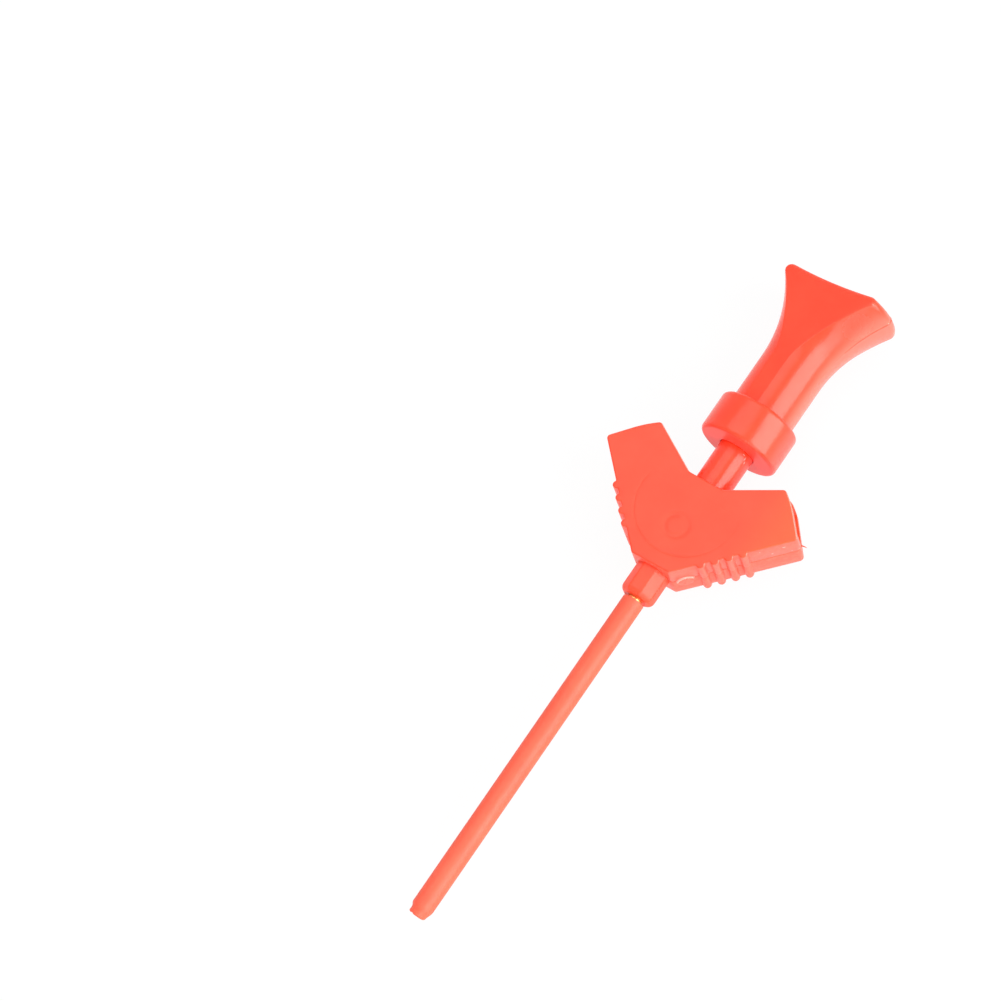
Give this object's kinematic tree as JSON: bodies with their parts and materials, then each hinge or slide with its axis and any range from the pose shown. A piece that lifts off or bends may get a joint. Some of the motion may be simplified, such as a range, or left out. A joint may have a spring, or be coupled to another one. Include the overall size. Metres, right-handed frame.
{
  "type": "test hook clip",
  "caption": "Y-shaped test hook clip: a sprung thumb button slides hooked claws out of a thin insulated tube, with contact posts recessed in both wing sockets.",
  "frame": {"origin": "centre of the insulating tube's mouth, on the clip's axis", "axes": "+X along the axis towards the thumb button, +Z out of the front face, +Y towards the left wing"},
  "size_m": [0.0529, 0.0156, 0.0062],
  "materials": {
    "red_plastic": "satin moulded plastic",
    "red_gloss": "polished moulded plastic",
    "red_tubing": "shrunk tubing",
    "gold_plate": "gold plated brass",
    "spring_steel": "drawn wire"
  },
  "bodies": {
    "clip_body": {"front_shell": "red_plastic", "rear_shell": "red_plastic", "left_post": "gold_plate", "right_post": "gold_plate", "contact_plate": "gold_plate", "nose_ferrule": "red_plastic", "brass_tube": "gold_plate", "insulating_tube": "red_tubing", "guide_stem": "red_gloss"},
    "spring": {"return_spring": "spring_steel"},
    "plunger": {"thumb_button": "red_gloss", "collar_ring": "red_gloss", "wire_crimp": "gold_plate", "left_wire": "spring_steel", "right_wire": "spring_steel"},
    "claw_left": {"left_claw": "gold_plate"},
    "claw_right": {"right_claw": "gold_plate"}
  },
  "joints": [
    {"name": "button_swivel", "type": "hinge", "parent": "clip_body", "child": "spring", "pos_m": [0.0411, 0, 0], "axis": [1, 0, 0], "continuous": true},
    {"name": "button_press", "type": "slide", "parent": "spring", "child": "plunger", "axis": [-1, 0, 0], "range_m": [0, 0.0023], "stiffness_N_per_m": 300, "springref_m": -0.0005, "deforming": ["return_spring"]},
    {"name": "left_claw_open", "type": "hinge", "parent": "plunger", "child": "claw_left", "pos_m": [0.00245, 0.00018, -0.00004], "axis": [0, -0.2351, -0.972], "range_deg": [0, 8]},
    {"name": "right_claw_open", "type": "hinge", "parent": "plunger", "child": "claw_right", "pos_m": [0.00245, -0.00018, 0.00004], "axis": [0, 0.2351, 0.972], "range_deg": [0, 8]}
  ],
  "couplings": [
    {"joint": "left_claw_open", "follows": "button_press", "rad_per_m": 60.7},
    {"joint": "right_claw_open", "follows": "button_press", "rad_per_m": 60.7}
  ]
}
